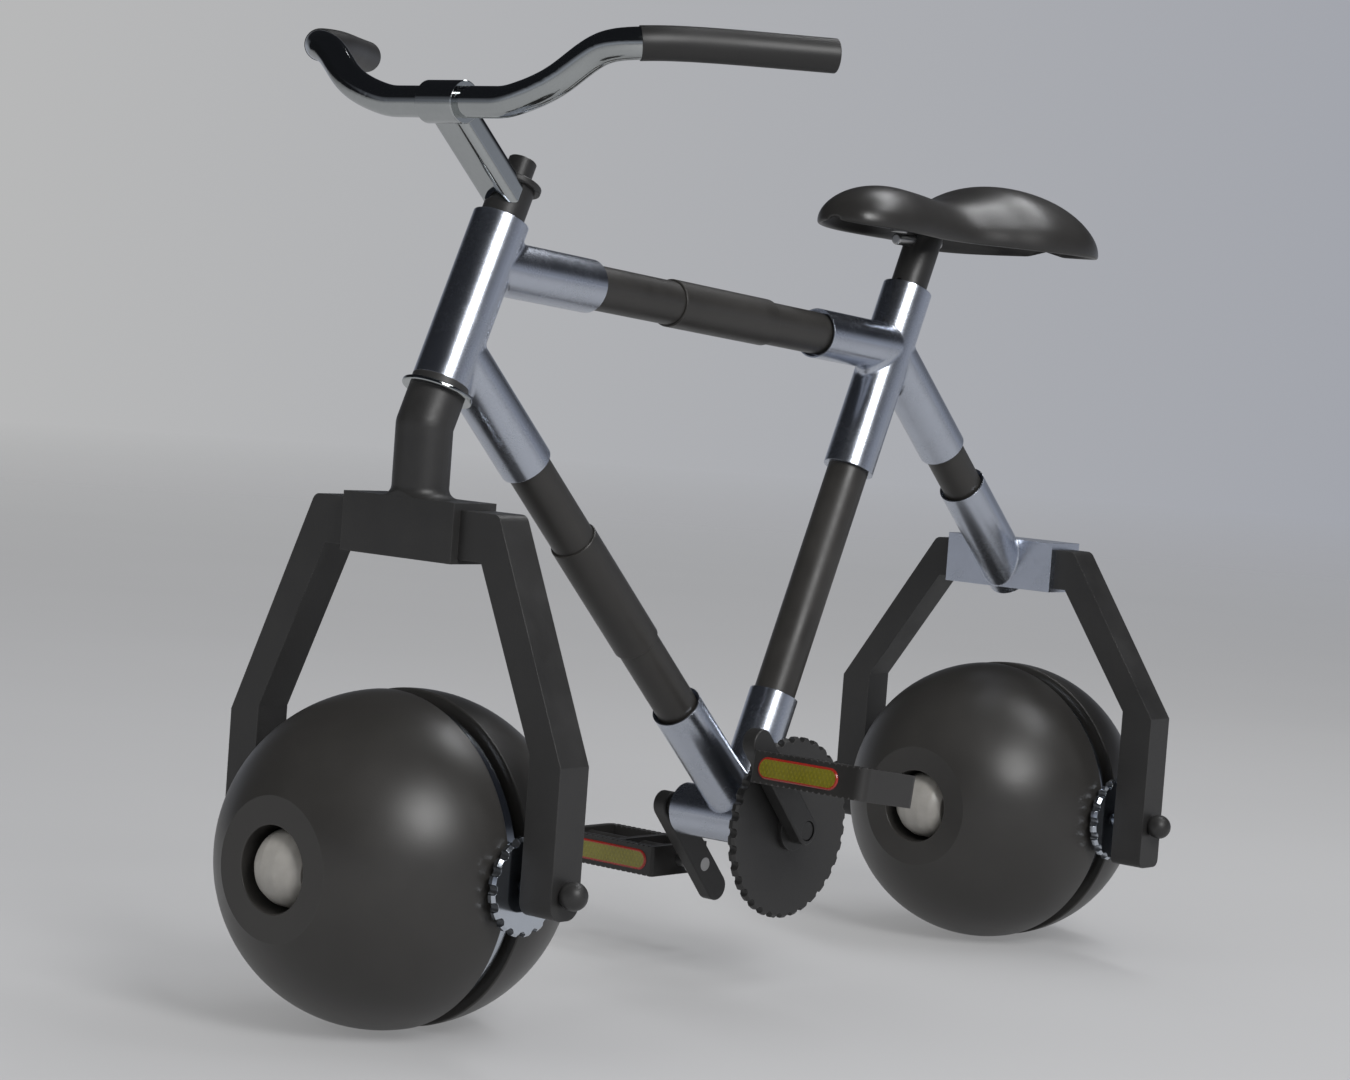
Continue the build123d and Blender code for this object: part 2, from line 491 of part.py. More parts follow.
with BuildPart() as fork_crown:
    with Locations((WHEEL_X, 0, FRONT_BLOCK_Z)):
        Box(BLOCK_DEPTH, BLOCK_WIDTH, BLOCK_HEIGHT)
    rod(Vector(WHEEL_X, 0, FRONT_BLOCK_Z), Vector(0, 0, 1), KNEE.Z - FRONT_BLOCK_Z, COLUMN_RADIUS)
    with Locations(KNEE):
        Sphere(COLUMN_RADIUS)
    rod(along(HEAD_TOP, DOWN, COLUMN_TOP), DOWN, KNEE_REACH - COLUMN_TOP, COLUMN_RADIUS)
    rod(along(HEAD_TOP, DOWN, STEERER_TOP), DOWN, KNEE_REACH - STEERER_TOP, STEERER_RADIUS)
    add(crown_flare.part.moved(Location((WHEEL_X, 0, BLOCK_TOP))))
    rod(along(HEAD_TOP, DOWN, STEERER_TOP - 1), DOWN, COLUMN_TOP - STEERER_TOP, STEERER_BORE, Mode.SUBTRACT)
    arm_pockets(WHEEL_X, FRONT_ARM_LOW, FRONT_ARM_TOP)
write(fork_crown.part, "fork_crown")

with BuildPart() as headset_cups:
    rod(HEAD_TOP, DOWN, CUP_DEPTH, HEAD_BORE)
    rod(along(HEAD_TOP, DOWN, HEAD_LENGTH - CUP_DEPTH), DOWN, CUP_DEPTH + 1, HEAD_BORE)
    rod(along(HEAD_TOP, DOWN, HEAD_LENGTH), DOWN, CUP_HEIGHT, LUG_RADIUS)
    rod(along(HEAD_TOP, DOWN, -OVERCUT), DOWN, HEAD_LENGTH + CUP_HEIGHT + 2 * OVERCUT,
        STEERER_RADIUS + RUNNING, Mode.SUBTRACT)
write(headset_cups.part, "headset_cups")

with BuildPart() as crown_race:
    rod(along(HEAD_TOP, DOWN, COLUMN_TOP - RACE_THICK), DOWN, RACE_THICK, RACE_RADIUS)
    fillet(crown_race.edges().filter_by(GeomType.CIRCLE), 1.4)
    rod(along(HEAD_TOP, DOWN, COLUMN_TOP - RACE_THICK - OVERCUT), DOWN, RACE_THICK + 2 * OVERCUT,
        STEERER_RADIUS, Mode.SUBTRACT)
write(crown_race.part, "crown_race")

# ==== stem, bar and grips =================================================
FLANGE_TOP = POST_RISE + FLANGE_THICK
with BuildPart() as stem_post:
    rod(along(HEAD_TOP, DOWN, -POST_RISE), DOWN, POST_RISE - POST_SHOULDER, POST_RADIUS)
    rod(along(HEAD_TOP, DOWN, -POST_SHOULDER), DOWN, POST_NECK, STEERER_BORE - RUNNING)
write(stem_post.part, "stem_post")

with BuildPart() as stem_bolt:
    rod(along(HEAD_TOP, DOWN, -POST_RISE), -DOWN, FLANGE_THICK, FLANGE_RADIUS)
    fillet(stem_bolt.edges().filter_by(GeomType.CIRCLE), 1.5)
    rod(along(HEAD_TOP, DOWN, -FLANGE_TOP + 1), -DOWN, BOLT_HEIGHT + 1, BOLT_RADIUS)
    chamfer(stem_bolt.edges().filter_by(GeomType.CIRCLE).sort_by(Axis.Z)[-1], 1)
    with BuildSketch(aimed(along(HEAD_TOP, DOWN, -FLANGE_TOP - BOLT_HEIGHT), DOWN)) as hexagon:
        RegularPolygon(BOLT_SOCKET / 2, 6, major_radius=False)
    extrude(hexagon.sketch, amount=BOLT_SOCKET_DEPTH, mode=Mode.SUBTRACT)
write(stem_bolt.part, "stem_bolt")

STEM_FOOT = along(HEAD_TOP, DOWN, -STEM_ROOT)
STEM_DIR = BAR_CENTRE - STEM_FOOT
with BuildPart() as stem_arm:
    with BuildSketch(aimed(STEM_FOOT, STEM_DIR)) as arm_section:
        RectangleRounded(STEM_WIDTH, STEM_THICK, STEM_CORNER)
    extrude(arm_section.sketch, amount=STEM_DIR.length)
    cross_bar(BAR_CENTRE, -CLAMP_LENGTH / 2, CLAMP_LENGTH / 2, CLAMP_RADIUS)
    chamfer(stem_arm.edges().filter_by(GeomType.CIRCLE).filter_by(
        lambda e: abs(abs(e.center().Y) - CLAMP_LENGTH / 2) < 0.1), 0.8)
    cross_bar(BAR_CENTRE, -CLAMP_LENGTH, CLAMP_LENGTH, BAR_RADIUS, Mode.SUBTRACT)
    rod(along(HEAD_TOP, DOWN, -POST_RISE), DOWN, 3 * POST_RISE, POST_RADIUS, Mode.SUBTRACT)
    rod(along(HEAD_TOP, DOWN, -POST_RISE), -DOWN, FLANGE_THICK + 0.4, FLANGE_RADIUS + 0.4, Mode.SUBTRACT)
write(stem_arm.part, "stem_arm")


def mirrored(point, side):
    return Vector(point[0], side * point[1], point[2])


def bar_lines(side):
    """Centre lines of one half of the bar: the chrome sweep, then the gripped end."""
    flat_end = Vector(BAR_CENTRE.X, side * BAR_FLAT, BAR_CENTRE.Z)
    grip_start, heading = mirrored(GRIP_START, side), mirrored(GRIP_HEADING, side)
    straight, end = mirrored(GRIP_STRAIGHT, side), mirrored(BAR_END, side)
    with BuildLine() as sweep_line:
        Line(BAR_CENTRE, flat_end)
        Spline(flat_end, *[mirrored(p, side) for p in BAR_RISE], grip_start,
               tangents=(Vector(0, side, 0), heading))
    with BuildLine() as grip_line:
        Spline(grip_start, mirrored(GRIP_MIDDLE, side), straight, tangents=(heading, end - straight))
        Line(straight, end)
    return sweep_line.wire(), grip_line.wire()


with BuildPart() as handlebar:
    for side in (1, -1):
        for line in bar_lines(side):
            start = Plane(origin=line @ 0, z_dir=line % 0)
            with BuildSketch(start) as ring:
                Circle(BAR_RADIUS)
                Circle(BAR_BORE, mode=Mode.SUBTRACT)
            sweep(ring.sketch, path=line)
write(handlebar.part, "handlebar")

with BuildPart() as grips:
    for side in (1, -1):
        line = bar_lines(side)[1]
        with BuildSketch(Plane(origin=line @ 0, z_dir=line % 0)) as sleeve:
            Circle(GRIP_RADIUS)
            Circle(BAR_RADIUS, mode=Mode.SUBTRACT)
        sweep(sleeve.sketch, path=line)
    tips = grips.edges().filter_by(GeomType.CIRCLE).filter_by(lambda e: e.radius > BAR_RADIUS + 0.5)
    fillet(tips.sort_by(Axis.X)[:2], 0.9)
write(grips.part, "grips")

# ==== cranks ==============================================================
with BuildPart() as crank_bearings:
    for side in (1, -1):
        ends = sorted((side * (SHELL_HALF - CRANK_BEARING), side * SHELL_HALF))
        cross_bar(BB, *ends, TUBE_RADIUS)
        cross_bar(BB, *ends, CRANK_AXLE_RADIUS + RUNNING, Mode.SUBTRACT)
write(crank_bearings.part, "crank_bearings")

with BuildPart() as crank_axle:
    cross_bar(BB, -CRANK_OUT + 1, CRANK_OUT - 1, CRANK_AXLE_RADIUS)
    chamfer(crank_axle.edges().filter_by(GeomType.CIRCLE), 1)
write(crank_axle.part, "crank_axle")

CRANK_DIR = Vector(cos(radians(CRANK_ANGLE)), 0, sin(radians(CRANK_ANGLE)))
PEDAL_AT = {1: along(BB, CRANK_DIR, CRANK_LENGTH), -1: along(BB, -CRANK_DIR, CRANK_LENGTH)}
for side, name in ((1, "left"), (-1, "right")):
    middle = along(BB, side * CRANK_DIR, CRANK_REACH / 2)
    y_low, y_high = sorted((side * CRANK_IN, side * CRANK_OUT))
    with BuildPart() as crank_arm:
        across = Plane(origin=(middle.X, y_low, middle.Z), x_dir=CRANK_DIR, z_dir=(0, 1, 0))
        with BuildSketch(across) as slot:
            SlotCenterToCenter(CRANK_REACH, CRANK_WIDTH)
        extrude(slot.sketch, amount=CRANK_OUT - CRANK_IN)
        fillet(crank_arm.edges().filter_by(Axis.Y, reverse=True), CRANK_ROUNDING)
        if side > 0:
            cross_bar(BB, CHAINRING_Y + CHAINRING_THICK, CRANK_IN, SPIDER_RADIUS)
        cross_bar(BB, -CRANK_OUT - 1, CRANK_OUT + 1, CRANK_AXLE_RADIUS, Mode.SUBTRACT)
        cross_bar(PEDAL_AT[side], -CRANK_OUT - 1, CRANK_OUT + 1, SPINDLE_RADIUS, Mode.SUBTRACT)
    write(crank_arm.part, f"crank_arm_{name}")

with BuildPart() as pedal_spindles:
    for side, step in ((1, 0), (-1, RIGHT_PEDAL_STEP)):
        cross_bar(PEDAL_AT[side], *sorted((side * CRANK_IN, side * (SPINDLE_END + step))), SPINDLE_RADIUS)
        cross_bar(PEDAL_AT[side], *sorted((side * CRANK_OUT, side * (PEDAL_IN - COLLAR_GAP))), COLLAR_RADIUS)
write(pedal_spindles.part, "pedal_spindles")

# ==== pedals ==============================================================
# Built once for the left side with the spindle along Y through the origin.
with BuildPart() as pedal:
    with BuildSketch(Plane.XY.offset(-PEDAL_HEIGHT / 2)) as cage:
        with Locations((0, (PEDAL_IN + PEDAL_OUT) / 2)):
            Rectangle(2 * PEDAL_HALF, PEDAL_OUT - PEDAL_IN)
        fillet(cage.vertices().group_by(Axis.Y)[0], PEDAL_CORNER)
        fillet(cage.vertices().group_by(Axis.Y)[-1], PEDAL_OUTER_CORNER)
        for y_from, y_to in ((PEDAL_IN + PEDAL_RAIL, PEDAL_BAR_Y - PEDAL_BAR_HALF),
                             (PEDAL_BAR_Y + PEDAL_BAR_HALF, PEDAL_OUT - PEDAL_END_WALL)):
            with Locations((0, (y_from + y_to) / 2)):
                Rectangle(2 * (PEDAL_HALF - PEDAL_RAIL), y_to - y_from, mode=Mode.SUBTRACT)
    extrude(cage.sketch, amount=PEDAL_HEIGHT)
    teeth = int((PEDAL_OUT - PEDAL_IN) / TOOTH_STEP)
    with BuildSketch(Plane.YZ) as notches:
        for z in (-PEDAL_HEIGHT / 2, PEDAL_HEIGHT / 2):
            with Locations(((PEDAL_IN + PEDAL_OUT) / 2, z)):
                with GridLocations(TOOTH_STEP, 1, teeth, 1):
                    Rectangle(TOOTH_CUT * sqrt(2), TOOTH_CUT * sqrt(2), rotation=45)
    extrude(notches.sketch, amount=2 * PEDAL_HALF, both=True, mode=Mode.SUBTRACT)
    cross_bar(Vector(0, 0, 0), PEDAL_IN, BARREL_END, PEDAL_BARREL)
    cross_bar(Vector(0, 0, 0), PEDAL_IN - OVERCUT, SPINDLE_BORE_END, SPINDLE_RADIUS + RUNNING, Mode.SUBTRACT)
    with BuildSketch(Plane.YZ) as recess:
        with Locations((REFLECTOR_Y, 0)):
            SlotOverall(REFLECTOR_LENGTH, REFLECTOR_HEIGHT)
    for x in (PEDAL_HALF - REFLECTOR_THICK / 2, -PEDAL_HALF - REFLECTOR_THICK / 2):
        extrude(recess.sketch.moved(Location((x, 0, 0))), amount=REFLECTOR_THICK, mode=Mode.SUBTRACT)

with BuildPart() as reflectors:
    with BuildSketch(Plane.YZ.offset(PEDAL_HALF - REFLECTOR_THICK / 2)) as lens:
        with Locations((REFLECTOR_Y, 0)):
            SlotOverall(REFLECTOR_LENGTH, REFLECTOR_HEIGHT)
    extrude(lens.sketch, amount=REFLECTOR_THICK)
    chamfer(reflectors.faces().sort_by(Axis.X)[-1].edges(), REFLECTOR_BEVEL)
    mirror(about=Plane.YZ)

at_left = Location(PEDAL_AT[1]) * Rotation(0, LEFT_PEDAL_PITCH, 0)
at_right = Location(PEDAL_AT[-1] - Vector(0, RIGHT_PEDAL_STEP, 0))
for piece, name in ((pedal, "pedal"), (reflectors, "pedal_reflectors")):
    write(piece.part.moved(at_left), f"{name}_left")
    write(piece.part.mirror(Plane.XZ).moved(at_right), f"{name}_right")

# ==== seat ================================================================
with BuildPart() as seat_post:
    rod(along(SEAT_NODE, SEAT_UP, -SEAT_POST_BELOW), SEAT_UP, SEAT_POST_BELOW + SEAT_POST_TOP,
        SEAT_POST_RADIUS)
    rod(along(SEAT_NODE, SEAT_UP, -SEAT_POST_BELOW - OVERCUT), SEAT_UP,
        SEAT_POST_BELOW + OVERCUT + SEAT_POST_TOP - SEAT_POST_CAP, SEAT_POST_RADIUS - SEAT_POST_WALL,
        Mode.SUBTRACT)
    bolt_at = along(SEAT_NODE, SEAT_UP, SADDLE_BOLT_RISE)
    for hole_at, hole_radius in ((along(SEAT_NODE, SEAT_UP, PIN_HOLE_RISE), PIN_HOLE_RADIUS),
                                 (bolt_at, SADDLE_BOLT_RADIUS)):
        rod(hole_at - Vector(2 * SEAT_POST_RADIUS, 0, 0), Vector(1, 0, 0), 4 * SEAT_POST_RADIUS,
            hole_radius, Mode.SUBTRACT)
write(seat_post.part, "seat_post")


def saddle_section(x, half_width, rim, crown):
    """One cross-section of the saddle, a low dome on a flat base."""
    rise = crown - rim
    with BuildSketch(Plane(origin=(x, 0, rim), x_dir=(0, 1, 0), z_dir=(1, 0, 0))) as dome:
        with BuildLine():
            Spline((-half_width, 0), (-0.86 * half_width, 0.5 * rise), (-0.5 * half_width, 0.87 * rise),
                   (0, rise), (0.5 * half_width, 0.87 * rise), (0.86 * half_width, 0.5 * rise),
                   (half_width, 0))
            Line((half_width, 0), (-half_width, 0))
        make_face()
    return dome.sketch.face()


# The hollow under the shell, one wall thickness inside it, where the shell is deep enough to have one.
DEEP_ENOUGH = 3 * SADDLE_WALL
hollow_stations = [
    (x, half_width - SADDLE_WALL, rim - SADDLE_RIM_DROP, crown - SADDLE_WALL)
    for x, half_width, rim, crown in SADDLE_STATIONS
    if half_width > DEEP_ENOUGH and crown - rim > DEEP_ENOUGH
]
with BuildPart() as saddle_hollow:
    loft([saddle_section(*station) for station in hollow_stations])

with BuildPart() as saddle:
    loft([saddle_section(*station) for station in SADDLE_STATIONS])
    add(saddle_hollow.part, mode=Mode.SUBTRACT)
write(saddle.part, "saddle")

# The bracket fills the hollow above the post, so the shell sits on it all over.
POST_TOP = along(SEAT_NODE, SEAT_UP, SEAT_POST_TOP)
with BuildPart() as saddle_bracket:
    with Locations(POST_TOP - Vector(0, 0, BRACKET_BELOW)):
        Box(BRACKET_LENGTH, BRACKET_WIDTH, 4 * BRACKET_BELOW, align=(Align.CENTER, Align.CENTER, Align.MIN))
    fillet(saddle_bracket.edges().filter_by(Axis.Z), 6)
    add(saddle_hollow.part, mode=Mode.INTERSECT)
    rod(along(SEAT_NODE, SEAT_UP, -OVERCUT), SEAT_UP, SEAT_POST_TOP + OVERCUT, SEAT_POST_RADIUS,
        Mode.SUBTRACT)
write(saddle_bracket.part, "saddle_bracket")

with BuildPart() as saddle_bolt:
    rod(bolt_at - Vector(SADDLE_BOLT_BACK, 0, 0), Vector(1, 0, 0), SADDLE_BOLT_LENGTH, SADDLE_BOLT_RADIUS)
    fillet(saddle_bolt.edges().filter_by(GeomType.CIRCLE), 2)
write(saddle_bolt.part, "saddle_bolt")
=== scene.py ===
# %% [markdown]
# # A bicycle on two split balls
# The frame is a set of satin chromed lugs with black tubes pushed into them. Each wheel is a ball
# cut in two: the halves can roll sideways round a bright hub that stands in the gap between them.
# The shapes of every hard piece come from the CAD frame, so this file gives them their finishes,
# builds the soft saddle, and lights the result. All lengths are in metres.

# %% Load the frame
import json
import math

import bmesh
import bpy
from mathutils import Matrix, Vector


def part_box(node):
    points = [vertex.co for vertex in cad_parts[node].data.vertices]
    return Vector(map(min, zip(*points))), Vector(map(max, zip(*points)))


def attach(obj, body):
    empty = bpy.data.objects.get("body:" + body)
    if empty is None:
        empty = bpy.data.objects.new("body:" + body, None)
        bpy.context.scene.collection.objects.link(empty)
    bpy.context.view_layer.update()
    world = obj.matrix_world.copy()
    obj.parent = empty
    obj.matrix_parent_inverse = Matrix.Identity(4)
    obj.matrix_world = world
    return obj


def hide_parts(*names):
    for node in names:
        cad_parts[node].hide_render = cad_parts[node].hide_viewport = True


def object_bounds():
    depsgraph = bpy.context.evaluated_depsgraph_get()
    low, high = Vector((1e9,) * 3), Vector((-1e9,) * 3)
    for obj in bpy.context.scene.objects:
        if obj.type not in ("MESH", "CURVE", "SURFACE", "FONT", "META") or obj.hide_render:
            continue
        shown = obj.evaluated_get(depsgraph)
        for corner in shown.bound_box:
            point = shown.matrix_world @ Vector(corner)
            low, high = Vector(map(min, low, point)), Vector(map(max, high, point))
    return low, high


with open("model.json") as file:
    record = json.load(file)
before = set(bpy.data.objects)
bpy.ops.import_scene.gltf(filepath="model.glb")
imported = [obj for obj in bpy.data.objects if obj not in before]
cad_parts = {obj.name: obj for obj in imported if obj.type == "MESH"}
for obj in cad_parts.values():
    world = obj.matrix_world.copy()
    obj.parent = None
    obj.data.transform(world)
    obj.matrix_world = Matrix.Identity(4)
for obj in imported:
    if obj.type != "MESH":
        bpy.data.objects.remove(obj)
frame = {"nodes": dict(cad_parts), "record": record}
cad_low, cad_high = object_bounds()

nodes = frame["nodes"]

# %% [markdown]
# ## Small helpers for building finishes
# A finish is a graph of shader nodes. Writing each node out in full hides the idea, so these
# helpers each add one kind of node and return its output. Everything is measured in the row's own
# frame ("Object" coordinates), so grain keeps its real size and moves with the piece.


# %% Node helpers
def new_finish(name):
    """An empty material: its node tree, its surface shader and the coordinates in metres."""
    finish = bpy.data.materials.new(name)
    finish.use_nodes = True
    tree = finish.node_tree
    shader = tree.nodes["Principled BSDF"]
    place = tree.nodes.new("ShaderNodeTexCoord").outputs["Object"]
    return finish, tree, shader, place


def noise(tree, place, size, detail=4.0, roughness=0.55, stretch=None):
    """Cloudy noise whose blobs are about `size` metres across."""
    if stretch:
        scaled = tree.nodes.new("ShaderNodeMapping")
        scaled.inputs["Scale"].default_value = stretch
        tree.links.new(place, scaled.inputs["Vector"])
        place = scaled.outputs["Vector"]
    made = tree.nodes.new("ShaderNodeTexNoise")
    made.inputs["Scale"].default_value = 1.0 / size
    made.inputs["Detail"].default_value = detail
    made.inputs["Roughness"].default_value = roughness
    tree.links.new(place, made.inputs["Vector"])
    return made.outputs["Fac"]


def calc(tree, operation, first, second=0.0, clamp=False):
    """One step of arithmetic on numbers or sockets."""
    made = tree.nodes.new("ShaderNodeMath")
    made.operation, made.use_clamp = operation, clamp
    for value, socket in zip((first, second), made.inputs):
        if isinstance(value, bpy.types.NodeSocket):
            tree.links.new(value, socket)
        else:
            socket.default_value = value
    return made.outputs[0]


def spread(tree, value, from_low, from_high, to_low, to_high):
    """Maps one range of numbers onto another, clamped at both ends."""
    made = tree.nodes.new("ShaderNodeMapRange")
    limits = {"From Min": from_low, "From Max": from_high, "To Min": to_low, "To Max": to_high}
    for name, number in limits.items():
        made.inputs[name].default_value = number
    tree.links.new(value, made.inputs["Value"])
    return made.outputs["Result"]


def tint(tree, share, first, second):
    """First colour where share is 0, second where it is 1."""
    made = tree.nodes.new("ShaderNodeMix")
    made.data_type = "RGBA"
    share_in, first_in, second_in = made.inputs[0], made.inputs[6], made.inputs[7]
    tree.links.new(share, share_in)
    for value, socket in ((first, first_in), (second, second_in)):
        if isinstance(value, bpy.types.NodeSocket):
            tree.links.new(value, socket)
        else:
            socket.default_value = (*value, 1.0)
    return made.outputs[2]


def soft_edges(tree, radius):
    """The normal with every sharp corner rounded by radius: it catches light like a broken edge."""
    made = tree.nodes.new("ShaderNodeBevel")
    made.samples = 4
    made.inputs["Radius"].default_value = radius
    return made.outputs["Normal"]


def bump(tree, height, depth, normal=None):
    """Raises the surface by up to depth metres where height is 1."""
    made = tree.nodes.new("ShaderNodeBump")
    made.inputs["Strength"].default_value = 1.0
    made.inputs["Distance"].default_value = depth
    tree.links.new(height, made.inputs["Height"])
    if normal is not None:
        tree.links.new(normal, made.inputs["Normal"])
    return made.outputs["Normal"]


def worn_edges(tree, radius):
    """1 on corners, where handling rubs a finish, and 0 on open faces."""
    facing = tree.nodes.new("ShaderNodeNewGeometry").outputs["Normal"]
    match = tree.nodes.new("ShaderNodeVectorMath")
    match.operation = "DOT_PRODUCT"
    tree.links.new(facing, match.inputs[0])
    tree.links.new(soft_edges(tree, radius), match.inputs[1])
    return spread(tree, match.outputs["Value"], 0.995, 0.86, 0.0, 1.0)


print("helpers ready")

# %% [markdown]
# ## Black coatings
# Tubes, fork arms, cranks and pedals are a warm black with a satin coat. A coat like this is never
# even: it has fine orange-peel, patches that are handled smoother, a little dust in it, and corners
# that have rubbed thin. One function makes them all, because they differ only in numbers.


# %% Satin black
def satin_black(name, colour, roughness, peel_size, peel_depth, edge=0.0006, rubbed=2.6, patch=0.045):
    finish, tree, shader, place = new_finish(name)
    patches = noise(tree, place, patch, 5.0)
    dust = noise(tree, place, 0.0035, 6.0, 0.7)
    wear = calc(tree, "MULTIPLY", worn_edges(tree, 2.5 * edge), spread(tree, patches, 0.38, 0.62, 0.15, 0.8))
    paler = tuple(1.35 * c for c in colour)
    coat = tint(tree, spread(tree, patches, 0.3, 0.7, 0.0, 1.0), colour, paler)
    coat = tint(tree, spread(tree, dust, 0.62, 0.8, 0.0, 0.35), coat, tuple(1.9 * c for c in colour))
    coat = tint(tree, wear, coat, tuple(rubbed * c for c in colour))
    tree.links.new(coat, shader.inputs["Base Color"])
    uneven = calc(tree, "ADD", spread(tree, patches, 0.3, 0.7, roughness - 0.05, roughness + 0.06),
                  spread(tree, dust, 0.3, 0.8, -0.03, 0.05))
    smoothed = calc(tree, "SUBTRACT", uneven, calc(tree, "MULTIPLY", wear, 0.1))
    tree.links.new(smoothed, shader.inputs["Roughness"])
    peel = calc(tree, "ADD", noise(tree, place, peel_size, 2.0), calc(tree, "MULTIPLY", dust, 0.4))
    tree.links.new(bump(tree, peel, peel_depth, soft_edges(tree, edge)), shader.inputs["Normal"])
    shader.inputs["Specular IOR Level"].default_value = 0.5
    print("finish:", name)
    return finish


finishes = {
    "frame_black": satin_black("tube coat", (0.024, 0.0225, 0.0205), 0.40, 0.0016, 0.00006),
    "fitting_black": satin_black("fork coat", (0.019, 0.0185, 0.018), 0.44, 0.0018, 0.00008, 0.0008),
    "pedal_plastic": satin_black("pedal coat", (0.020, 0.019, 0.018), 0.42, 0.0012, 0.00008, 0.0005, 3.6),
}

# %% [markdown]
# ## The balls, grips and saddle cover
# The half balls are covered in a thin hard rubber. Rubber is duller than paint, scuffs in short
# pale marks where it meets the ground, and shows the fine stipple of its mould. The grips and the
# saddle cover are softer mouldings with a slightly closer grain.


# %% Moulded rubber
def moulded_rubber(name, colour, roughness, grain_size, grain_depth, scuff=0.5, edge=0.0007, sheen=0.0):
    finish, tree, shader, place = new_finish(name)
    broad = noise(tree, place, 0.09, 4.0)
    grain = noise(tree, place, grain_size, 3.0, 0.6)
    scratches = noise(tree, place, 0.004, 5.0, 0.7, (1.0, 0.22, 1.0))
    marks = calc(tree, "MULTIPLY", spread(tree, scratches, 0.64, 0.76, 0.0, scuff),
                 spread(tree, broad, 0.45, 0.65, 0.0, 1.0))
    skin = tint(tree, spread(tree, broad, 0.3, 0.7, 0.0, 1.0), colour, tuple(1.25 * c for c in colour))
    skin = tint(tree, marks, skin, tuple(2.2 * c for c in colour))
    wear = calc(tree, "MULTIPLY", worn_edges(tree, 3 * edge), 0.5)
    skin = tint(tree, wear, skin, tuple(2.4 * c for c in colour))
    tree.links.new(skin, shader.inputs["Base Color"])
    tree.links.new(calc(tree, "ADD", spread(tree, broad, 0.3, 0.7, roughness - 0.04, roughness + 0.05),
                        calc(tree, "MULTIPLY", marks, 0.25)), shader.inputs["Roughness"])
    tree.links.new(bump(tree, grain, grain_depth, soft_edges(tree, edge)), shader.inputs["Normal"])
    shader.inputs["Sheen Weight"].default_value = sheen
    shader.inputs["Sheen Roughness"].default_value = 0.5
    print("finish:", name)
    return finish


finishes["ball_rubber"] = moulded_rubber("ball cover", (0.027, 0.0255, 0.0235), 0.37, 0.0011, 0.00005)
finishes["grip_rubber"] = moulded_rubber("grip rubber", (0.012, 0.0115, 0.011), 0.46, 0.0009, 0.00007, 0.2)
finishes["saddle_cover"] = moulded_rubber("saddle cover", (0.021, 0.020, 0.019), 0.34, 0.0016, 0.00009, 0.15)

# %% [markdown]
# ## Chrome
# The lugs are satin: blasted, then plated, so they mirror the room as soft bands with a faint
# sparkle. The bar, stem and the race under the head lug are polished before plating and mirror it
# sharply. Fingerprints and polishing haze change only the roughness, in smooth clouds.


# %% Satin and polished plating
def plating(name, colour, low, high, grain_size, grain_depth, edge=0.0006, haze=0.05):
    finish, tree, shader, place = new_finish(name)
    shader.inputs["Metallic"].default_value = 1.0
    clouds = noise(tree, place, haze, 5.0, 0.6)
    grain = noise(tree, place, grain_size, 3.0, 0.65)
    metal = tint(tree, spread(tree, clouds, 0.3, 0.7, 0.0, 1.0), colour, tuple(0.93 * c for c in colour))
    metal = tint(tree, spread(tree, grain, 0.4, 0.75, 0.0, 0.18), metal, tuple(0.8 * c for c in colour))
    metal = tint(tree, calc(tree, "MULTIPLY", worn_edges(tree, 2 * edge), 0.6), metal,
                 tuple(min(1.0, 1.3 * c) for c in colour))
    tree.links.new(metal, shader.inputs["Base Color"])
    tree.links.new(calc(tree, "ADD", spread(tree, clouds, 0.3, 0.72, low, high),
                        spread(tree, grain, 0.3, 0.7, -0.02, 0.02)), shader.inputs["Roughness"])
    tree.links.new(bump(tree, grain, grain_depth, soft_edges(tree, edge)), shader.inputs["Normal"])
    print("finish:", name)
    return finish


finishes["lug_chrome"] = plating("satin chrome", (0.55, 0.585, 0.66), 0.22, 0.30, 0.0007, 0.000006)
finishes["polished_chrome"] = plating("polished chrome", (0.46, 0.48, 0.48), 0.045, 0.09, 0.004, 0.000004)
finishes["wheel_chrome"] = plating("hub chrome", (0.56, 0.60, 0.66), 0.10, 0.17, 0.0015, 0.000008, 0.0004)
finishes["plain_steel"] = plating("turned steel", (0.42, 0.42, 0.42), 0.26, 0.36, 0.0006, 0.00002)

# %% [markdown]
# ## Rollers and reflectors
# A small roller stands in each ball's pole so that the ball also rolls when it tips right over.
# It is pale moulded nylon, a little translucent. The reflectors are amber lenses over a mesh of
# small prisms, with a red band round the edge.


# %% Nylon rollers
def nylon(name, colour):
    finish, tree, shader, place = new_finish(name)
    clouds = noise(tree, place, 0.02, 5.0)
    specks = noise(tree, place, 0.0012, 4.0, 0.7)
    skin = tint(tree, spread(tree, clouds, 0.3, 0.7, 0.0, 1.0), colour, tuple(0.82 * c for c in colour))
    skin = tint(tree, spread(tree, specks, 0.62, 0.8, 0.0, 0.4), skin, tuple(0.5 * c for c in colour))
    tree.links.new(skin, shader.inputs["Base Color"])
    tree.links.new(spread(tree, clouds, 0.3, 0.7, 0.34, 0.44), shader.inputs["Roughness"])
    tree.links.new(bump(tree, specks, 0.00005, soft_edges(tree, 0.0006)), shader.inputs["Normal"])
    shader.inputs["Subsurface Weight"].default_value = 0.08
    shader.inputs["Subsurface Radius"].default_value = (0.004, 0.004, 0.003)
    print("finish:", name)
    return finish


finishes["roller_nylon"] = nylon("roller nylon", (0.34, 0.325, 0.30))


# %% Reflector lenses
LENS_HEIGHT = 0.021


